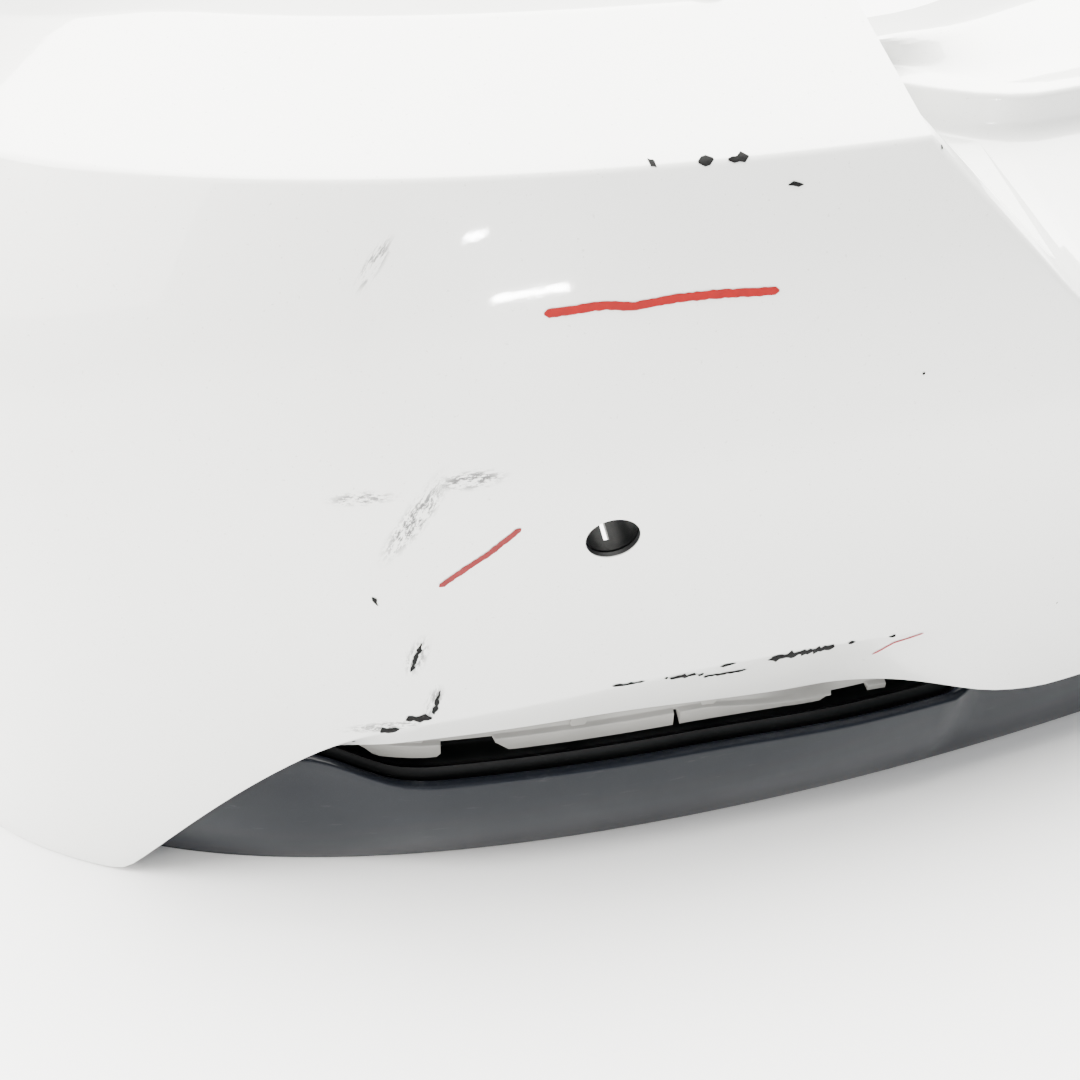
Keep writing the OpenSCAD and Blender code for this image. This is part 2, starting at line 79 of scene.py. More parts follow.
def level(z, k):
    """Column k of LEVELS at height z, on a smooth curve through the levels."""
    z = np.asarray(z, float)
    v, h = LEVELS[:, k], LEVELS[:, 0]
    s = np.empty(5)
    s[0] = (v[1] - v[0]) / (h[1] - h[0])
    s[1:4] = (v[2:] - v[:3]) / (h[2:] - h[:3])
    s[4] = 1.3 * (v[4] - v[3]) / (h[4] - h[3])
    i = np.clip(np.searchsorted(h, z, side="right") - 1, 0, 3)
    d = h[i + 1] - h[i]
    t = (z - h[i]) / d
    return (2 * t**3 - 3 * t**2 + 1) * v[i] + (t**3 - 2 * t**2 + t) * d * s[i] \
        + (3 * t**2 - 2 * t**3) * v[i + 1] + (t**3 - t**2) * d * s[i + 1]


def bow(x, a, b, n):
    """How far a face of half width a has curved back at x, up to b. n is the curve's power."""
    return b - b * np.maximum(0, 1 - np.minimum(1, np.abs(x) / a) ** n) ** (1 / n)


def wide(z):
    return HALF_W - level(z, 2)


def plan_y(x, z):
    return REAR_Y + level(z, 1) + bow(x, wide(z), level(z, 3), level(z, 4))


def crease_height(x):
    a = np.abs(x)
    t = a - 660
    wave = np.where(np.abs(a - 480) < 205, CREASE_Z + 8 + 8 * np.cos(math.pi * (a - 480) / 205), CREASE_Z)
    cut_off = CREASE_Z - 0.52 * t - 0.0037 * np.maximum(0, t) ** 2
    e = (wave + cut_off) / 2 - np.sqrt((wave - cut_off) ** 2 / 4 + 36)
    return (e + np.sqrt(e * e + 64)) / 2 + 0.4


def lip_drop(x):
    a = np.abs(x)
    up = 0.65 * rise(a, 280, 400) + 0.35 * rise(a, 430, 560)
    d = crease_height(x) - TONGUE_Z - (LIP_Z - TONGUE_Z) * up
    return (d + np.sqrt(d * d + 4)) / 2


def lip_in(x):
    return 0.4 * rise(np.abs(x), 325, 430) * lip_drop(x) + 6 * rise(np.abs(x), 650, 695)


def plan_in(x, z):
    n = unit(np.stack([plan_y(x - 0.5, z) - plan_y(x + 0.5, z), np.ones_like(x)], -1))
    return np.where((np.abs(x) > wide(z) - 1)[..., None], np.array([-1.0, 0.0]), n)


def xyz(x, y, z):
    return np.stack(np.broadcast_arrays(x, y, z), -1).astype(float)


def lip_pt(x):
    z = crease_height(x)
    q = plan_in(x, z)
    return xyz(x + q[..., 0] * lip_in(x), plan_y(x, z) + q[..., 1] * lip_in(x), z - lip_drop(x))


def arch_y(z):
    return np.minimum(FRONT_Y - 3, ARCH_Y - np.sqrt(ARCH_R**2 - (z - ARCH_Z) ** 2))


def recess_lip(x):
    e, m = SHELF_Z - (HALF_RECESS - x), LIP_RECESS
    return np.where(e > m + 24, e, np.where(e < m - 24, m, m + (e - m + 24) ** 2 / 96))


def seal_y(x):
    return REAR_Y + 100 + 8 * (x / 297) ** 2 + np.maximum(0, x - 320) ** 2 / 80


def ridge_y(x):
    return REAR_Y + 180 - 19 * rise(x, 260, 350)


def bead_y(x):
    a = np.abs(x)
    return REAR_Y + 22.5 + bow(x, HALF_W, 340, 2.4) + 14 * rise(a, 630, 700) - 4 * (1 - rise(a, 400, 500)) \
        + 8 * (1 - rise(a, 332, 352))


def foot_y(x):
    return REAR_Y + 42 + bow(x, HALF_W - 34, 292, 2.27)


def valance_top(x):
    return np.minimum(BEAD_Z + 13 * rise(np.abs(x), 646, 692), crease_height(x) + 30)


# ---------------------------------------------------------------- grids
def fillet(g, row, radius, n=6):
    """Rounds the corner at one row of a grid. radius is a number or one for each column."""
    p, a, b = g[:, row], g[:, row - 1], g[:, row + 1]
    la, lb = np.linalg.norm(a - p, axis=1), np.linalg.norm(b - p, axis=1)
    r = np.minimum(np.broadcast_to(radius, la.shape), 0.48 * np.minimum(la, lb))[:, None]
    s, e = p + unit(a - p) * r, p + unit(b - p) * r
    t = np.linspace(0, 1, n)[None, :, None]
    arc = (1 - t) ** 2 * s[:, None] + 2 * t * (1 - t) * p[:, None] + t**2 * e[:, None]
    return np.concatenate([g[:, :row], arc, g[:, row + 1:]], 1)


def mesh_object(name, verts, faces, sharp=32):
    m = bpy.data.meshes.new(name)
    m.from_pydata([tuple(v) for v in verts], [], [tuple(int(i) for i in f) for f in faces])
    m.update()
    o = bpy.data.objects.new(name, m)
    bpy.context.scene.collection.objects.link(o)
    smooth_by_angle(o, sharp)
    return o


def smooth_by_angle(o, degrees):
    bm = bmesh.new()
    bm.from_mesh(o.data)
    limit = math.radians(degrees)
    for f in bm.faces:
        f.smooth = True
    for e in bm.edges:
        e.smooth = len(e.link_faces) == 2 and e.calc_face_angle(0) < limit
    bm.to_mesh(o.data)
    bm.free()


def grid_faces(n, m, start=0):
    i, j = np.meshgrid(np.arange(n - 1), np.arange(m - 1), indexing="ij")
    a = (start + i * m + j).ravel()
    return np.stack([a, a + 1, a + m + 1, a + m], 1)


def normals(g):
    """Outward unit normals of a grid (columns along X, rows upwards)."""
    def step(axis):
        d = unit(np.diff(g, axis=axis))
        pad = [(0, 0)] * 3
        pad[axis] = (0, 1)
        after = np.pad(d, pad)
        pad[axis] = (1, 0)
        return after + np.pad(d, pad)

    return unit(np.cross(step(0), step(1)))


def shell(name, g, t, sharp=32):
    """A sheet of thickness t millimetres inside the outer grid g, no lower than the ground."""
    n, m = g.shape[:2]
    inner = g - normals(g) * t
    inner[..., 2] = np.maximum(inner[..., 2], 0.3)
    back = n * m
    rim = np.concatenate([np.arange(n) * m, (n - 1) * m + np.arange(1, m),
                          (np.arange(n - 2, -1, -1)) * m + m - 1, np.arange(m - 2, 0, -1)])
    nxt = np.roll(rim, -1)
    rim_faces = np.stack([nxt, rim, rim + back, nxt + back], 1)
    verts = np.concatenate([g.reshape(-1, 3), inner.reshape(-1, 3)]) / 1000
    sides = grid_faces(n, m)
    quads = np.concatenate([rim_faces, sides + back])
    outside = np.concatenate([sides[:, [2, 1, 0]], sides[:, [3, 2, 0]]])
    faces = np.concatenate([outside, quads[:, [0, 1, 2]], quads[:, [0, 2, 3]]])
    return mesh_object(name, verts, faces, sharp)


def bare_inside(o, g):
    """Mark each point of a sheet that isn't on its outer grid g, so that its back and cut edges stay bare."""
    points = [Vector(p) for p in g.reshape(-1, 3) / 1000]
    tree = BVHTree.FromPolygons(points, [list(map(int, q)) for q in grid_faces(*g.shape[:2])])
    depth = [min(1.0, tree.find_nearest(v.co)[3] * 1000) for v in o.data.vertices]
    o.data.attributes.new("bare", "FLOAT", "POINT").data.foreach_set("value", depth)


def both(g):
    """A half grid from the middle outwards, with its mirror image."""
    left = g[:0:-1] * np.array([-1, 1, 1])
    return np.concatenate([left, g])


def carve(o, cutter, operation="DIFFERENCE", sharp=32):
    mod = o.modifiers.new("carve", "BOOLEAN")
    mod.operation, mod.solver, mod.object = operation, "EXACT", cutter
    bpy.context.view_layer.update()
    new = bpy.data.meshes.new_from_object(o.evaluated_get(bpy.context.evaluated_depsgraph_get()))
    o.modifiers.clear()
    o.data = new
    bpy.data.objects.remove(cutter)
    smooth_by_angle(o, sharp)


def joined(name, *objects):
    """Several closed meshes as one piece."""
    bm = bmesh.new()
    for o in objects:
        bm.from_mesh(o.data)
        bpy.data.objects.remove(o)
    mesh = bpy.data.meshes.new(name)
    bm.to_mesh(mesh)
    bm.free()
    piece = bpy.data.objects.new(name, mesh)
    bpy.context.scene.collection.objects.link(piece)
    return piece


def prism(name, outline, where, across, up, out, near, far):
    """A closed prism: an outline of (across, up) millimetres, from near to far along out, about a point."""
    where = Vector(where)
    verts = [where + (a * across + u * up + d * out) / 1000 for d in (near, far) for a, u in outline]
    n = len(outline)
    faces = [(i, (i + 1) % n, n + (i + 1) % n, n + i) for i in range(n)]
    faces += [tuple(range(n - 1, -1, -1)), tuple(range(n, 2 * n))]
    return mesh_object(name, verts, faces)


def rounded(w, h, r, steps=8):
    """The outline of a rectangle with round corners."""
    turns = [(sx, sz, q + i / steps) for sx, sz, q in ((1, 1, 0), (-1, 1, 1), (-1, -1, 2), (1, -1, 3))
             for i in range(steps + 1)]
    return [(sx * (w / 2 - r) + r * math.cos(t * math.pi / 2),
             sz * (h / 2 - r) + r * math.sin(t * math.pi / 2)) for sx, sz, t in turns]


def rod(name, where, along, r, near, far, sides=48):
    """A round bar from near to far along a line, in millimetres about a point in metres."""
    along = Vector(along).normalized()
    across = along.orthogonal().normalized()
    turns = [2 * math.pi * i / sides for i in range(sides)]
    outline = [(r * math.cos(t), r * math.sin(t)) for t in turns]
    return prism(name, outline, where, across, along.cross(across), along, near, far)


def loose_centres(node):
    """The middle of each separate solid of a CAD node, in metres."""
    bm = bmesh.new()
    bm.from_mesh(frame["nodes"][node].data)
    bmesh.ops.remove_doubles(bm, verts=bm.verts, dist=1e-6)
    left, centres = set(bm.verts), []
    while left:
        seen, todo = set(), [next(iter(left))]
        while todo:
            v = todo.pop()
            if v not in seen:
                seen.add(v)
                todo += [e.other_vert(v) for e in v.link_edges]
        left -= seen
        co = np.array([v.co for v in seen])
        centres.append(Vector((co.min(0) + co.max(0)) / 2))
    bm.free()
    return sorted(centres, key=lambda c: tuple(c))


# ---------------------------------------------------------------- skin
def skin_grid():
    s = np.linspace(0, 1, 71)
    corner = HALF_RECESS + (HALF_W - HALF_RECESS) * (1 - (1 - s) ** 1.6)
    ref = np.concatenate([np.arange(0, 366, 12.0), np.arange(366, 436, 3.5), corner])
    knots = np.array([0, .2, .4, .6, .7, .76, .8, .853, .9, .95, 1]) * HALF_RECESS
    inset = HALF_W - np.array([385, 325, 265, 222, 188, 152, 120, 90, 65, 42, 22, 7, 0.0])
    index = np.interp(ref, np.concatenate([knots, inset]), np.arange(24.0))
    in_recess = ref < HALF_RECESS
    top = np.where(in_recess, recess_lip(ref), SHELF_Z)

    def body(z):
        x = np.where(in_recess, ref, HALF_RECESS + (wide(z) - HALF_RECESS) * (ref - HALF_RECESS)
                     / (HALF_W - HALF_RECESS))
        return xyz(x, plan_y(x, z), z)

    def shelf(k, p, narrow):
        q = plan_in(p[..., 0], np.full(p.shape[:-1], SHELF_Z))
        w = SHELF_W * (1 - 0.38 * narrow)
        d, u = (w * k, SLOPE * w * k) if k <= 1 else (w + FLANGE_W * (k - 1), SLOPE * w + 2 * (k - 1))
        return xyz(p[..., 0] + q[..., 0] * d, p[..., 1] + q[..., 1] * d, SHELF_Z + u)

    crease = crease_height(ref)
    rows = [lip_pt(ref)]
    rows += [rows[0] + (body(crease) - rows[0]) * f for f in (0.35, 0.7, 1)]
    steps = np.linspace(0, 1, 33)[1:]
    rows += [body(crease + (top - crease) * f) for f in steps]
    crease_row, top_row = 3, len(rows) - 1
    narrow = rise(index, 17, 23)
    edge = xyz(np.array(HALF_RECESS), plan_y(np.array(HALF_RECESS), SHELF_Z), np.array(SHELF_Z))
    b = np.maximum(0, ref / HALF_RECESS - RECESS_FLAT) / RECESS_TURN
    blend = np.where(in_recess, b, 1.0)[:, None] ** 2
    lip = body(top)
    xs = np.minimum(ref, RECESS_FLAT * HALF_RECESS)
    inside = [lip + np.array([0, 16, 8]),
              xyz(ref, seal_y(xs), FOOT_Z),
              xyz(ref, seal_y(xs) + 1, FOOT_Z + WALL_H),
              xyz(ref, seal_y(xs) + 24, FOOT_Z + WALL_H + 2),
              xyz(ref, ridge_y(xs), FOOT_Z + 33),
              xyz(ref, ridge_y(xs) + 28, FOOT_Z + 33)]
    shares = (0.2, 0.5, 0.8, 1, 1.5, 2)
    outside = [shelf(k, np.broadcast_to(edge, (1, 3)), np.zeros(1)) for k in shares]
    on_shelf = [shelf(k, lip, narrow) for k in shares]
    for k in range(6):
        w = blend if k else np.zeros_like(blend)
        mixed = inside[k] + (outside[k] - inside[k]) * np.array([0, 1, 1]) * w
        rows.append(np.where(in_recess[:, None], mixed, on_shelf[k]))
    g = np.stack(rows, 1)

    # side, then the arch flange
    last = g[-1]
    z = last[:, 2]
    z_low = np.minimum(z, SHELF_Z)
    f = np.linspace(0, 1, 27)[1:]
    end_y = arch_y(z_low)
    side = np.stack([xyz(last[:, 0], last[:, 1] + (end_y - last[:, 1]) * t, z) for t in f])
    turn = side[-1].copy()
    shift = np.zeros((g.shape[1], 3))
    shift[:top_row] = [-ARCH_FLANGE, 0, 0]
    shift[0] = [6 - ARCH_FLANGE, -6, 0]
    shift[top_row] = [-10, 3, -9]
    shift[top_row + 1:] = [0, 3, -12]
    side[-1, 0] += [0, -6, 0]
    turn = turn + shift
    g = np.concatenate([g, side, turn[None]])
    ncol = len(g)
    # rounded creases
    soft = np.where(in_recess, 9 - 6.5 * rise(ref, 425, 436), 2.2)
    soft = np.concatenate([soft, np.full(ncol - len(ref), 2.2)])
    ridge = np.where(np.arange(ncol) < in_recess.sum(), 14, 2.5)
    t = top_row
    creases = ((t + 5, 6), (t + 4, ridge), (t + 3, 3), (t + 2, 6), (t + 1, 6), (t, soft), (crease_row, 2.0))
    for row, r in creases:
        g = fillet(g, row, r)
    g = np.swapaxes(fillet(np.swapaxes(g, 0, 1), ncol - 2, 3.0), 0, 1)
    return g


def frame_at(x, z):
    """A point on the body and its directions across, up the surface and outwards."""
    x, z = np.float64(x), np.float64(z)
    across = Vector((1, float(plan_y(x + 0.5, z) - plan_y(x - 0.5, z)), 0)).normalized()
    up = Vector((0, float(plan_y(x, z + 0.5) - plan_y(x, z - 0.5)), 1)).normalized()
    out = across.cross(up).normalized()
    at = Vector((float(x), float(plan_y(x, z)), float(z))) / 1000
    return at, across, (out.cross(across)).normalized(), out


TOW_X, TOW_Z, TOW_SIZE = 400.0, 205.0, 66.0
tow_at, tow_across, tow_up, tow_out = frame_at(TOW_X, TOW_Z)
UP = Vector((0, 0, 1))


def skin_cutters():
    mounts = frame["record"]["mounts"]
    cutters = [rod("cut", m["pos_m"], m["axis"], SENSOR_R, -30, 30) for m in mounts
               if m["name"].startswith("sensor_bore")]
    for node, r in (("sill_screws", SCREW_R), ("guide_screws", SCREW_R), ("push_rivet_sleeves", RIVET_R)):
        cutters += [rod("cut", c, UP, r, -30, 30) for c in loose_centres(node)]
    rail_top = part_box("sill_rail")[1][2]
    for x in SILL_BOLT_X:
        cutters.append(rod("cut", (x, (REAR_Y + 195) / 1000, rail_top), UP, SILL_BOLT_R, -12, 12))
    for c in loose_centres("arch_nuts"):
        hub = Vector((c.x, ARCH_Y / 1000, ARCH_Z / 1000))
        cutters.append(rod("cut", c, hub - c, LINER_R, -15, 15))
    opening = [(a - 1, u) for a, u in rounded(TOW_SIZE + 4, TOW_SIZE + 2, 5)]
    cutters.append(prism("cut", opening, tow_at, tow_across, tow_up, tow_out, -14, 14))
    return cutters


outer = both(skin_grid())
skin = shell("skin_paint", outer, SKIN_T)
carve(skin, joined("cutters", *skin_cutters()))
bare_inside(skin, outer)
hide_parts("bumper_skin")
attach(skin, "cover")


# ---------------------------------------------------------------- valance, carrier and clip rails
def valance():
    x = np.arange(-800.0, 800.1, 8)
    top = valance_top(x)
    z = np.linspace(0, 1, 15)[:, None] * top
    lean = np.minimum(1, z / BEAD_Z)
    face = foot_y(x) + (bead_y(x) - foot_y(x)) * lean - 24 * lean * (1 - lean)
    rows = [xyz(x, foot_y(x) + 28, 5.0), xyz(x, foot_y(x) + 5, 5.0)] + [xyz(x, f, h) for f, h in zip(face, z)]
    rows += [xyz(x, bead_y(x) + 6, top + 0.5), xyz(x, bead_y(x) + 9.5, top - 7)]
    g = np.stack(rows, 1)
    for row, r in ((17, 2.2), (16, 2.6), (2, 1.5)):
        g = fillet(g, row, r)
    return shell("valance_lacquer", g, 3)


def screw_bosses(r, near, far, side=0):
    """A round boss behind the bead at each carrier screw, on one side (-1 or 1) or on both (0)."""
    bosses = []
    for c in loose_centres("carrier_screws"):
        if c.x * side >= 0:
            x = np.float64(c.x * 1000)
            inward = Vector((float(bead_y(x - 0.5) - bead_y(x + 0.5)), 1, 0))
            at = Vector((c.x, float(bead_y(x) + 18) / 1000, c.z))
            bosses.append(rod("boss", at, inward, r, near, far))
    return bosses


def carrier():
    """The ledge and wall behind the gap. A skirt below its front edge closes the gap behind the bead."""
    x = np.linspace(-688.0, 688.0, 231)
    offsets = ((13.4, -14), (12.9, -2.4), (13.6, 0), (15.6, -3), (32, -5), (36, -3), (36, 40), (45, 42))
    g = np.stack([xyz(x, bead_y(x) + y, valance_top(x) + z) for y, z in offsets], 1)
    g = g + normals(g) * 2.5
    for row, r in ((6, 2), (5, 2), (3, 1.5), (1, 1)):
        g = fillet(g, row, r)
    body = shell("carrier_body", g, 2.5)
    posts = [rod("post", (c.x, c.y, 0), UP, 6.5, 8.6, BEAD_Z - 3) for c in loose_centres("valance_screws")]
    return joined("carrier_plastic", body, *posts, *screw_bosses(6, 9.4, 18.5))


RAIL_ENDS = (384.5, 663.5)
TABS = ((384, 396, 0, 0), (417, 502, 7, 0), (504.5, 598.5, 0, 8), (625, 664, 3, 9))


def rail(side):
    """A strip under the lip with stepped tabs below it. TABS gives each tab's ends and their chamfers."""
    steps = [np.clip([a - 0.5, a + 0.5, b - 0.5, b + 0.5], *RAIL_ENDS) for a, b, _, _ in TABS]
    x = np.unique(np.concatenate([np.linspace(*RAIL_ENDS, 94)] + steps))
    lip, front = lip_pt(x), bead_y(x) + 18
    under = lip[:, 2] - 2.4
    s = np.minimum(BEAD_Z + 14.5, under - 4)
    tab, cut_up = np.zeros_like(x, bool), np.zeros_like(x)
    for a, b, near, far in TABS:
        tab |= (x > a) & (x < b)
        for end, size in ((a, near), (b, far)):
            if size:
                cut_up += np.where((x > a) & (x < b), 0.8 * size * (1 - rise(np.abs(x - end), 0, size)), 0)
    low = np.where(tab, np.minimum(np.minimum(BEAD_Z + 5, s - 4) + cut_up, s - 1.5), s + 0.4)
    back = plan_y(x, crease_height(x) + 5) + SKIN_T + 0.8
    g = np.stack([xyz(x, front + np.where(tab, 0, 2), low),
                  xyz(x, front + np.where(tab, 0, 2.2), np.where(tab, s - 0.6, s + 0.9)),
                  xyz(x, front + 2.6, s + 1.5),
                  xyz(x, np.maximum(front + 2.8, lip[:, 1] + 2.5), under),
                  xyz(x, np.maximum(front + 3.8, lip[:, 1] + 4.5), lip[:, 2] + 2),
                  xyz(x, np.maximum(front + 3.8, lip[:, 1] + 1.8), lip[:, 2] + 9),
                  xyz(x, back, crease_height(x) + 5)], 1)
    for row in (3, 2, 1):
        g = fillet(g, row, 0.7, 4)
    if side < 0:
        g = g[::-1] * np.array([-1, 1, 1])
    return shell("rail_strip", g, 2, 40)


def tow_flap():
    x, z = np.meshgrid(TOW_X + np.linspace(-40, 40, 41), TOW_Z + np.linspace(-40, 40, 41), indexing="ij")
    plate = shell("flap", xyz(x, plan_y(x, z), z), 2.5)
    outline = [(a + 0.5, u) for a, u in rounded(TOW_SIZE - 1, TOW_SIZE, 5)]
    carve(plate, prism("cut", outline, tow_at, tow_across, tow_up, tow_out, -14, 14), "INTERSECT")
    hinge = next(j for j in frame["record"]["behaviour"]["joints"] if j["type"] == "hinge")
    barrel = rod("barrel", hinge["pos_m"], hinge["axis"], 3.2, -12, 12)
    inward = (Vector(hinge["pos_m"]) - tow_at).dot(tow_across) * 1000
    arm = prism("arm", rounded(5, 24, 0.6), tow_at + tow_across * inward / 1000,
                tow_across, tow_up, tow_out, -5, -2)
    latch = prism("latch", rounded(2.5, 14, 0.6), tow_at + tow_across * (TOW_SIZE / 2 - 6.75) / 1000,
                  tow_across, tow_up, tow_out, -9, -2)
    return joined("tow_flap_paint", plate, barrel, arm, latch)


def stands_for(piece, node, body):
    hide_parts(node)
    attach(piece, body)
    return piece


pieces = {"white_paint": [skin, stands_for(tow_flap(), "tow_cover", "tow_flap")],
          "grey_gloss": [stands_for(valance(), "lower_valance", "cover")],
          "black_plastic": [stands_for(carrier(), "lower_carrier", "cover")],
          "natural_plastic": []}
for side, hand in ((-1, "left"), (1, "right")):
    piece = joined("clip_rail_plastic_" + hand, rail(side), *screw_bosses(4.4, 1.4, 9, side))
    pieces["natural_plastic"].append(stands_for(piece, "clip_rail_" + hand, "cover"))


# ---------------------------------------------------------------- wear and marker strokes
surface = BVHTree.FromPolygons([v.co for v in skin.data.vertices], [p.vertices for p in skin.data.polygons])


def ribbon(points, width, ragged=0.0, proud=0.25):
    """Vertices and faces of a thin mark on the skin along points of (x, height), with a ragged edge."""
    p = np.array(points, float)
    run = np.concatenate([[0], np.cumsum(np.linalg.norm(np.diff(p, axis=0), axis=1))])
    n = max(4, int(run[-1] / 1.5))
    t = np.linspace(0, run[-1], n)
    line = np.stack([np.interp(t, run, p[:, 0]), np.interp(t, run, p[:, 1])], 1)
    along = unit(np.gradient(line, axis=0))
    side = np.stack([-along[:, 1], along[:, 0]], 1)
    ends = np.clip(np.minimum(t, run[-1] - t) / (0.6 * width) + 0.25, 0, 1)
    verts, faces = [], []
    for k, share in enumerate((-1, -0.33, 0.33, 1)):
        w = width / 2 * share * ends * (1 + ragged * rng.uniform(-1, 1, n))
        for q in line + side * w[:, None]:
            hit, normal, _, _ = surface.ray_cast(Vector((q[0] / 1000, -0.4, q[1] / 1000)), Vector((0, 1, 0)))
            verts.append(hit + (normal if normal.y < 0 else -normal) * proud / 1000)
    for k in range(3):
        faces += [(k * n + i, k * n + i + 1, (k + 1) * n + i + 1, (k + 1) * n + i) for i in range(n - 1)]
    return verts, faces


def marks(name, strokes, ragged):
    verts, faces = [], []
    for points, width in strokes:
        v, f = ribbon(points, width, ragged)
        faces += [tuple(i + len(verts) for i in face) for face in f]
        verts += v
    o = mesh_object(name, verts, faces)
    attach(o, "cover")
    return o


# Strokes of chipped paint: points of (x, height) on the skin, and a width, in millimetres
CHIPS = [
    ([(-527, 413), (-521, 413.4)], 2.0), ([(-516, 413), (-508, 413.3)], 1.8),
    ([(-544, 413), (-542, 414)], 2.1), ([(-432, 408), (-431, 409)], 2.4),
    ([(-494, 402.5), (-488, 402)], 1.5), ([(-435, 320), (-434, 321)], 2.1),
    ([(-658, 231), (-656, 225)], 1.5), ([(-638, 196), (-643, 175)], 1.8), ([(-630, 159), (-633, 141)], 1.8),
    ([(-658, 130), (-653, 131), (-649, 131)], 4.8), ([(-646, 138), (-640, 139), (-634, 138)], 4.5),
    ([(-671, 123), (-669, 122)], 2.4), ([(-549, 147), (-533, 147)], 1.5), ([(-523, 146), (-521, 146)], 2.4),
    ([(-520, 145), (-514, 144), (-506, 144)], 4.8), ([(-505, 143), (-502, 142)], 2.7),
    ([(-501, 139), (-490, 138), (-478, 138)], 2.1), ([(-495, 148), (-487, 149)], 2.4),
    ([(-469, 145), (-462, 146), (-453, 147), (-444, 146), (-434, 146)], 6.0),
    ([(-468, 148), (-461, 147)], 2.1), ([(-427, 147), (-423, 147)], 2.7), ([(-404, 145), (-400, 144)], 2.7),
    ([(-302, 138), (-301, 138)], 2.4)
]
chips = marks("paint_chips", CHIPS, 0.75)
RED_LINE = [(-587, 364), (-565, 365.5), (-554, 364), (-539, 365.5), (-524, 365.5), (-498, 364)]
FADED_LINE = [(-631, 235), (-622, 244), (-611, 254), (-599, 268)]
PINK_LINE = [(-406, 127), (-398, 137), (-383, 141)]
red = marks("red_marker", [(RED_LINE, 3.4)], 0.12)
rose = marks("faded_marker", [(FADED_LINE, 3.0)], 0.15)
pink = marks("pink_marker", [(PINK_LINE, 1.6)], 0.2)


# ---------------------------------------------------------------- materials
# Brushed scuffs: middle of each in millimetres, half width and half length, tilt in degrees, strength
SCUFFS = [
    ((-641, 0, 277), (7, 33), 27, 1.0),
    ((-619, 0, 297), (6, 17), 85, 1.0),
    ((-660, 0, 291), (4.5, 16), 88, 0.9),
    ((-640, 0, 186), (6, 18), 12, 0.8),
    ((-643, 0, 385), (3.5, 15), 38, 0.8),
    ((-633, 0, 150), (5, 16), 12, 0.8),
    ((-655, 0, 134), (5, 24), 86, 0.8),
]


class Graph:
    """A material with short calls for its nodes."""

    def __init__(self, name, **sockets):
        self.m = bpy.data.materials.new(name)
        self.m.use_nodes = True
        self.t = self.m.node_tree
        self.shader = self.t.nodes["Principled BSDF"]
        for k, v in sockets.items():
            self.shader.inputs[k.replace("_", " ")].default_value = v
        self.place = self.node("ShaderNodeTexCoord").outputs["Object"]

    def node(self, kind, **values):
        n = self.t.nodes.new(kind)
        for k, v in values.items():
            setattr(n, k, v)
        return n

    def link(self, a, b):
        self.t.links.new(a, b)

    def put(self, socket, v):
        if isinstance(v, bpy.types.NodeSocket):
            self.link(v, socket)
        else:
            socket.default_value = v

    def math(self, op, a, b=0.0):
        n = self.node("ShaderNodeMath", operation=op)
        self.put(n.inputs[0], a)
        self.put(n.inputs[1], b)
        return n.outputs[0]

    def noise(self, scale, detail=3.0, rough=0.5, stretch=None, where=None):
        p = where or self.place
        if stretch:
            s = self.node("ShaderNodeMapping")
            self.link(p, s.inputs["Vector"])
            s.inputs["Scale"].default_value = stretch
            p = s.outputs[0]
        n = self.node("ShaderNodeTexNoise")
        self.link(p, n.inputs["Vector"])
        n.inputs["Scale"].default_value = scale
        n.inputs["Detail"].default_value = detail
        n.inputs["Roughness"].default_value = rough
        return n.outputs["Fac"]

    def turned(self, centre, tilt):
        """Object coordinates about a point, in millimetres, turned so that Z runs along a streak."""
        n = self.node("ShaderNodeMapping", vector_type="TEXTURE")
        self.link(self.place, n.inputs["Vector"])
        n.inputs["Location"].default_value = [c / 1000 for c in centre]
        n.inputs["Rotation"].default_value = (0, math.radians(tilt), 0)
        return n.outputs[0]

    def spot(self, centre, size, tilt):
        """1 in the middle of a tilted oval on the surface, falling to 0 at its edge."""
        n = self.node("ShaderNodeVectorMath", operation="MULTIPLY")
        self.link(self.turned(centre, tilt), n.inputs[0])
        n.inputs[1].default_value = (1000 / size[0], 0, 1000 / size[1])
        d = self.node("ShaderNodeVectorMath", operation="LENGTH")
        self.link(n.outputs[0], d.inputs[0])
        return self.span(d.outputs["Value"], 0.35, 1.0, 1.0, 0.0)

    def span(self, v, lo, hi, a=0.0, b=1.0):
        n = self.node("ShaderNodeMapRange", interpolation_type="SMOOTHSTEP")
        self.put(n.inputs["Value"], v)
        for k, x in zip(("From Min", "From Max", "To Min", "To Max"), (lo, hi, a, b)):
            n.inputs[k].default_value = x
        return n.outputs[0]

    def mix(self, f, a, b):
        n = self.node("ShaderNodeMix", data_type="RGBA")
        self.put(n.inputs[0], f)
        for s, v in ((n.inputs[6], a), (n.inputs[7], b)):
            self.put(s, v if isinstance(v, bpy.types.NodeSocket) else (*v, 1.0))
        return n.outputs[2]

    def bump(self, height, strength, distance, normal=None):
        n = self.node("ShaderNodeBump")
        self.put(n.inputs["Height"], height)
        n.inputs["Strength"].default_value = strength
        n.inputs["Distance"].default_value = distance
        if normal is not None:
            self.link(normal, n.inputs["Normal"])
        return n.outputs[0]

    def out(self, **sockets):
        for k, v in sockets.items():
            self.put(self.shader.inputs[k.replace("_", " ")], v)
        return self.m


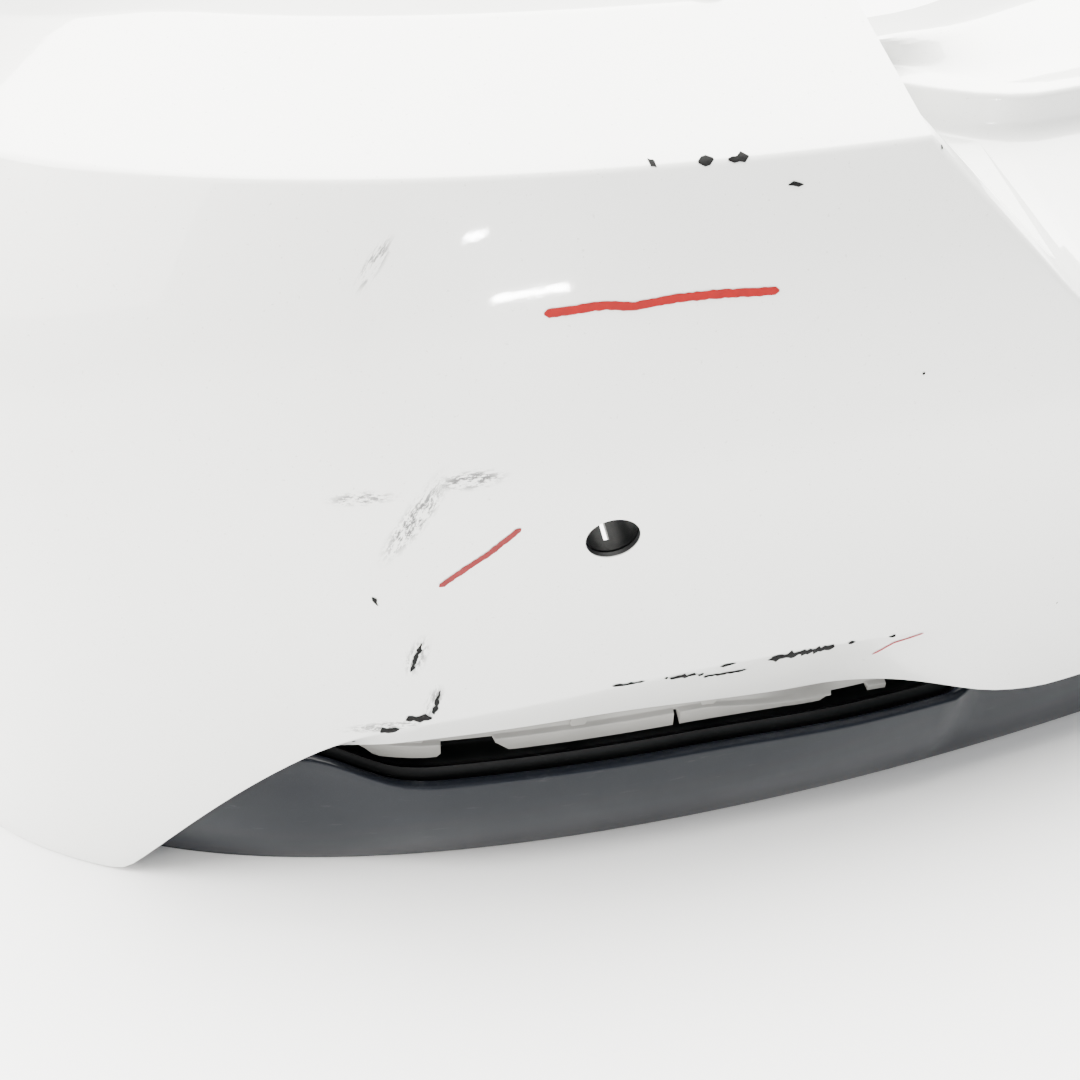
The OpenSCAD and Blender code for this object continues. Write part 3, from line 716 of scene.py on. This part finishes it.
def white_paint():
    g = Graph("white_paint", Coat_Roughness=0.04, Coat_IOR=1.5)
    base = g.mix(g.span(g.noise(2.2, 2.0), 0.35, 0.65), (0.70, 0.705, 0.69), (0.75, 0.75, 0.73))
    film = g.span(g.noise(7.0, 5.0, 0.65, (1, 1, 0.35)), 0.48, 0.72)
    base = g.mix(g.math("MULTIPLY", film, 0.10), base, (0.55, 0.53, 0.49))
    dust = g.span(g.noise(640.0, 2.0), 0.68, 0.76)
    base = g.mix(g.math("MULTIPLY", dust, 0.35), base, (0.30, 0.28, 0.25))
    for centre, size, tilt, strength in SCUFFS:
        brushed = g.span(g.noise(130.0, 5.0, 0.75, (5, 5, 0.7), g.turned(centre, tilt)), 0.46, 0.56)
        rubbed = g.math("MULTIPLY", brushed, g.spot(centre, size, tilt))
        base = g.mix(g.math("MULTIPLY", rubbed, strength), base, (0.012, 0.012, 0.013))
    bare = g.span(g.node("ShaderNodeAttribute", attribute_name="bare").outputs["Fac"], 0.10, 0.25)
    moulded = g.mix(g.noise(30.0, 4.0), (0.0055, 0.0056, 0.0060), (0.0100, 0.0102, 0.0106))
    peel = g.bump(g.noise(420.0, 1.0), 0.02, 0.0004)
    return g.out(Base_Color=g.mix(bare, base, moulded), Coat_Weight=g.span(bare, 0, 1, 1, 0),
                 Coat_Normal=peel, Roughness=g.span(bare, 0, 1, 0.32, 0.55))


def marker(name, colour, thin):
    g = Graph(name, Specular_IOR_Level=0.2)
    streak = g.span(g.noise(260.0, 4.0, 0.6), 0.35, 0.7)
    base = g.mix(streak, colour, thin)
    return g.out(Base_Color=base, Roughness=g.span(streak, 0, 1, 0.5, 0.62))


def chipped():
    g = Graph("chipped_primer", Specular_IOR_Level=0.1)
    grain = g.noise(900.0, 4.0, 0.7)
    base = g.mix(g.span(grain, 0.35, 0.65), (0.001, 0.001, 0.001), (0.008, 0.008, 0.008))
    return g.out(Base_Color=base, Roughness=g.span(grain, 0.3, 0.7, 0.6, 0.85),
                 Normal=g.bump(grain, 0.5, 0.0003))


def grey_gloss():
    g = Graph("grey_gloss", Specular_IOR_Level=0.08, Coat_Weight=0.11, Coat_Roughness=0.08)
    flake = g.span(g.noise(2600.0, 2.0), 0.45, 0.75)
    base = g.mix(flake, (0.0038, 0.0050, 0.0078), (0.007, 0.0092, 0.0135))
    scuff = g.span(g.noise(40.0, 5.0, 0.7, (1, 1, 6)), 0.60, 0.75)
    base = g.mix(g.math("MULTIPLY", scuff, 0.25), base, (0.06, 0.06, 0.064))
    rough = g.span(g.noise(6.0, 3.0), 0.3, 0.7, 0.30, 0.42)
    return g.out(Base_Color=base, Roughness=rough)


def black_plastic():
    g = Graph("black_plastic", Specular_IOR_Level=0.15)
    grain = g.noise(1800.0, 3.0, 0.6)
    base = g.mix(g.span(g.noise(14.0, 4.0), 0.35, 0.7), (0.0028, 0.0031, 0.0032), (0.0055, 0.0060, 0.0061))
    return g.out(Base_Color=base, Roughness=g.span(grain, 0.3, 0.7, 0.38, 0.55),
                 Normal=g.bump(grain, 0.25, 0.0003))


def natural_plastic():
    g = Graph("natural_plastic")
    # The rail plastic is off-white, but its colour here is darkened to a grey beige. This is painted shade
    # for the strip that sits under the lip, on top of its own plastic tone.
    base = g.mix(g.span(g.noise(9.0, 4.0), 0.35, 0.65), (0.17, 0.168, 0.158), (0.24, 0.236, 0.222))
    fine = g.noise(900.0, 2.0)
    return g.out(Base_Color=base, Roughness=g.span(fine, 0.3, 0.7, 0.4, 0.5),
                 Normal=g.bump(fine, 0.1, 0.0002))


def steel():
    g = Graph("zinc_steel", Metallic=1.0)
    grain = g.noise(700.0, 4.0, 0.6)
    base = g.mix(grain, (0.42, 0.42, 0.43), (0.60, 0.60, 0.58))
    return g.out(Base_Color=base, Roughness=g.span(grain, 0.3, 0.7, 0.28, 0.45))


def finish_with(o, material):
    o.data.materials.clear()
    o.data.materials.append(material)


MATERIALS = {"white_paint": white_paint(), "grey_gloss": grey_gloss(), "black_plastic": black_plastic(),
             "natural_plastic": natural_plastic(), "steel": steel()}
for part in frame["record"]["subparts"]:
    finish_with(frame["nodes"][part["node"]], MATERIALS[part["material_slot"]])
for slot, made in pieces.items():
    for o in made:
        finish_with(o, MATERIALS[slot])
finish_with(chips, chipped())
finish_with(red, marker("red_marker", (0.20, 0.0001, 0.0002), (0.24, 0.0005, 0.001)))
finish_with(rose, marker("faded_marker", (0.13, 0.001, 0.002), (0.18, 0.010, 0.012)))
finish_with(pink, marker("pink_marker", (0.26, 0.02, 0.03), (0.36, 0.08, 0.09)))

# ---------------------------------------------------------------- floor, light and camera
bpy.ops.mesh.primitive_plane_add(size=14)
floor = bpy.context.object
floor.name = "floor"
fg = Graph("floor_white", Roughness=0.9)
fg.out(Base_Color=fg.mix(fg.noise(3.0), (0.86, 0.86, 0.86), (0.9, 0.9, 0.9)))
floor.data.materials.append(fg.m)

world = bpy.data.worlds.new("studio")
bpy.context.scene.world = world
world.use_nodes = True
world.node_tree.nodes["Background"].inputs[0].default_value = (0.88, 0.93, 1.0, 1)
world.node_tree.nodes["Background"].inputs[1].default_value = 0.7


def lamp(name, where, target, size, watts, color=(1, 1, 1)):
    d = bpy.data.lights.new(name, "AREA")
    d.shape, d.size, d.size_y, d.energy, d.color = "RECTANGLE", size[0], size[1], watts, color
    o = bpy.data.objects.new(name, d)
    bpy.context.scene.collection.objects.link(o)
    o.location = where
    o.rotation_euler = (Vector(target) - Vector(where)).to_track_quat("-Z", "Y").to_euler()
    return o


lamp("overhead", (0.0, 0.95, 3.0), (0, 0.5, 0.3), (12.0, 3.2), 2500, (1.0, 0.99, 0.95))
lamp("side", (-3.4, -1.0, 1.6), (-0.5, 0, 0.2), (2.2, 2.2), 90, (1.0, 0.95, 0.88))

# Two narrow lamps that the camera doesn't see, whose reflections make the highlights on the skin
GLINTS = (("glint", (-1.30, -2.50, 0.56), 0.10), ("strip_glint", (-1.04, -2.57, 0.227), 0.34))
GLINT_W = 0.035
for name, where, length in GLINTS:
    glint = lamp(name, where, (-0.6, -0.21, 0.38), (length, GLINT_W), 1000 * GLINT_W * length)
    glint.visible_camera = False

cam = bpy.data.cameras.new("camera")
cam.lens, cam.sensor_width = 43.333, 36
co = bpy.data.objects.new("camera", cam)
bpy.context.scene.collection.objects.link(co)
co.location = (-0.7673, -0.6050, 0.6099)
co.rotation_euler = (math.radians(50), 0, math.radians(-25))
bpy.context.scene.camera = co
